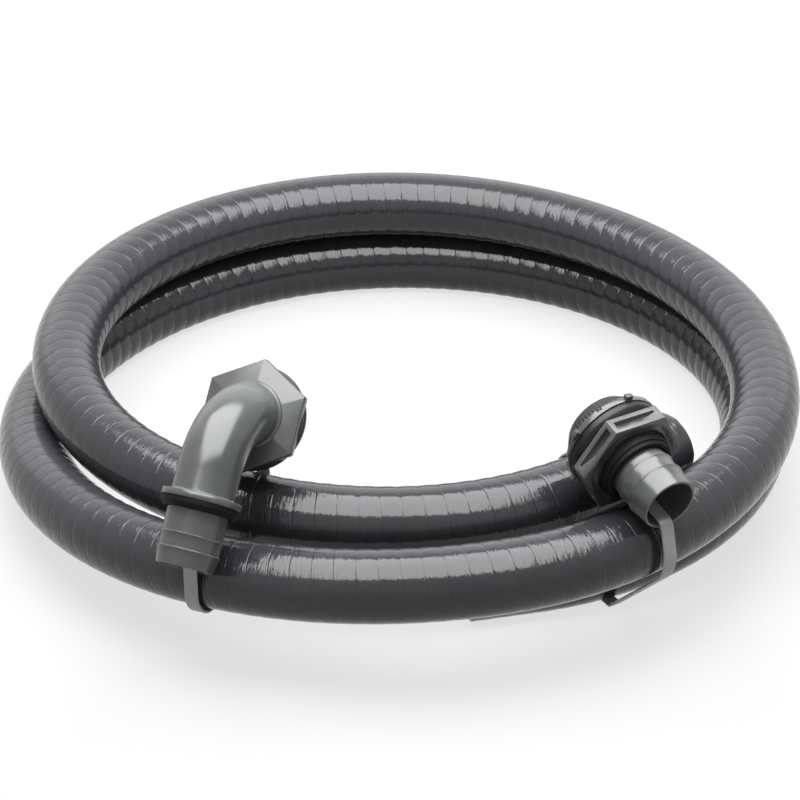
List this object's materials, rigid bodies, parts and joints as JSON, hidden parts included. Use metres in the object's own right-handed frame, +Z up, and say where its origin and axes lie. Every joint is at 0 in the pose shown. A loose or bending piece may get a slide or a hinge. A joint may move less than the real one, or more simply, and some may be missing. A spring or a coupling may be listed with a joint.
{
  "type": "sewer hose kit",
  "caption": "Ribbed waste hose lying in a coil, with a barbed elbow fitting and a straight flanged fitting with a nut, each held on the coil by a cable tie.",
  "frame": {"origin": "centre of the coil's bounding box, on the surface that it lies on", "axes": "+Z up, square to the coil; the elbow lies at the front left (-X -Y) and the straight fitting at the front right (+X -Y)"},
  "size_m": [0.5204, 0.533, 0.1562],
  "materials": {
    "hose_pvc": "glossy flexible PVC with a moulded spiral",
    "fitting_plastic": "satin moulded plastic",
    "nut_plastic": "satin moulded plastic",
    "gasket_rubber": "smooth black rubber",
    "ring_rubber": "matt dark rubber",
    "tie_nylon": "natural nylon"
  },
  "bodies": {
    "root": {"hose": "hose_pvc", "elbow_body": "fitting_plastic", "elbow_flange_gasket": "gasket_rubber", "elbow_tail_ring": "ring_rubber", "straight_body": "fitting_plastic", "straight_tail_ring": "ring_rubber", "straight_back_seal": "ring_rubber", "tie_elbow": "tie_nylon", "tie_straight": "tie_nylon"},
    "gasket": {"straight_gasket": "gasket_rubber"},
    "nut": {"straight_nut": "nut_plastic"}
  },
  "joints": [
    {"name": "gasket_slide", "type": "slide", "parent": "root", "child": "gasket", "axis": [0.5139, -0.8288, -0.2216], "range_m": [0, 0.0016]},
    {"name": "nut_turn", "type": "hinge", "parent": "gasket", "child": "nut", "pos_m": [0.13871, -0.17793, 0.11165], "axis": [0.5139, -0.8288, -0.2216], "range_deg": [0, 240]}
  ],
  "couplings": [
    {"joint": "gasket_slide", "follows": "nut_turn", "m_per_rad": 0.00036749}
  ]
}
